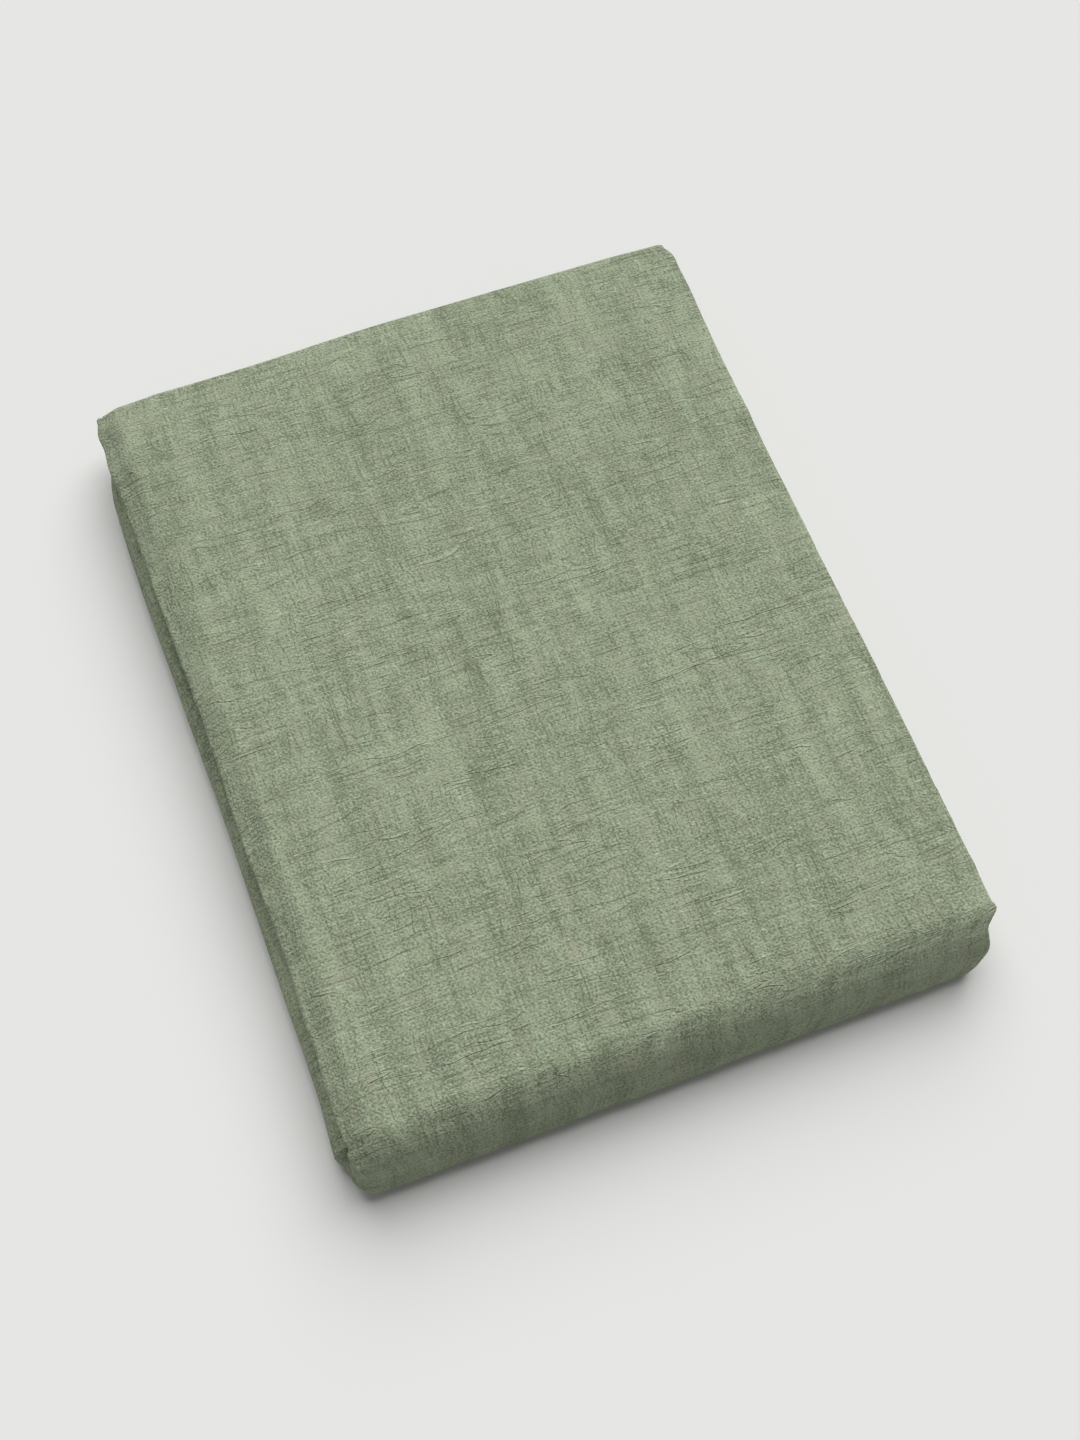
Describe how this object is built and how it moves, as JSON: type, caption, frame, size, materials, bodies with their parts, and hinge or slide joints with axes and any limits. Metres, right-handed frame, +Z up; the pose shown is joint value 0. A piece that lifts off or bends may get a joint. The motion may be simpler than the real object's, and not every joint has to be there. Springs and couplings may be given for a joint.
{
  "type": "folded tablecloth",
  "caption": "Crinkled linen-look tablecloth folded into a flat rectangular packet that opens at its last fold.",
  "frame": {"origin": "on the floor, under the middle of the folded packet's box", "axes": "+X across the packet, with the left folds at -X; +Y from the front roll to the back edge; +Z up"},
  "size_m": [0.2744, 0.356, 0.036],
  "materials": {
    "crinkled_linen": "washed plain weave, matt, crinkled, sage green",
    "sewing_thread": "spun polyester thread, matt, sage green",
    "label_tape": "plain satin-woven tape, blank, off-white"
  },
  "bodies": {
    "lower_half": {"care_label": "label_tape", "end_hem_thread": "sewing_thread", "front_fold_1": "crinkled_linen", "front_fold_2": "crinkled_linen", "front_fold_3": "crinkled_linen", "front_fold_4": "crinkled_linen", "front_fold_5": "crinkled_linen", "front_fold_6": "crinkled_linen", "front_fold_7": "crinkled_linen", "front_fold_8": "crinkled_linen", "lower_end_hem_inner": "crinkled_linen", "lower_end_hem_outer": "crinkled_linen", "lower_end_hem_second": "crinkled_linen", "lower_end_hem_third": "crinkled_linen", "lower_leaf_inner": "crinkled_linen", "lower_leaf_outer": "crinkled_linen", "lower_leaf_second": "crinkled_linen", "lower_leaf_third": "crinkled_linen", "lower_right_fold_core": "crinkled_linen", "lower_right_fold_middle": "crinkled_linen", "lower_right_fold_skin": "crinkled_linen", "lower_side_hem_first": "crinkled_linen", "lower_side_hem_last": "crinkled_linen", "lower_side_hem_thread": "sewing_thread"},
    "upper_half": {"upper_leaf_inner": "crinkled_linen", "upper_leaf_outer": "crinkled_linen", "upper_leaf_second": "crinkled_linen", "upper_leaf_third": "crinkled_linen", "upper_length_fold_inner": "crinkled_linen", "upper_length_fold_outer": "crinkled_linen", "upper_length_fold_second": "crinkled_linen", "upper_length_fold_third": "crinkled_linen", "upper_right_fold_core": "crinkled_linen", "upper_right_fold_middle": "crinkled_linen", "upper_right_fold_skin": "crinkled_linen", "upper_side_hem_first": "crinkled_linen", "upper_side_hem_last": "crinkled_linen", "upper_side_hem_thread": "sewing_thread"}
  },
  "joints": [
    {"name": "unfold", "type": "hinge", "parent": "lower_half", "child": "upper_half", "pos_m": [0, -0.16, 0.018], "axis": [1, 0, 0], "range_deg": [0, 180], "deforming": ["front_fold_1", "front_fold_2", "front_fold_3", "front_fold_4", "front_fold_5", "front_fold_6", "front_fold_7", "front_fold_8"]}
  ]
}
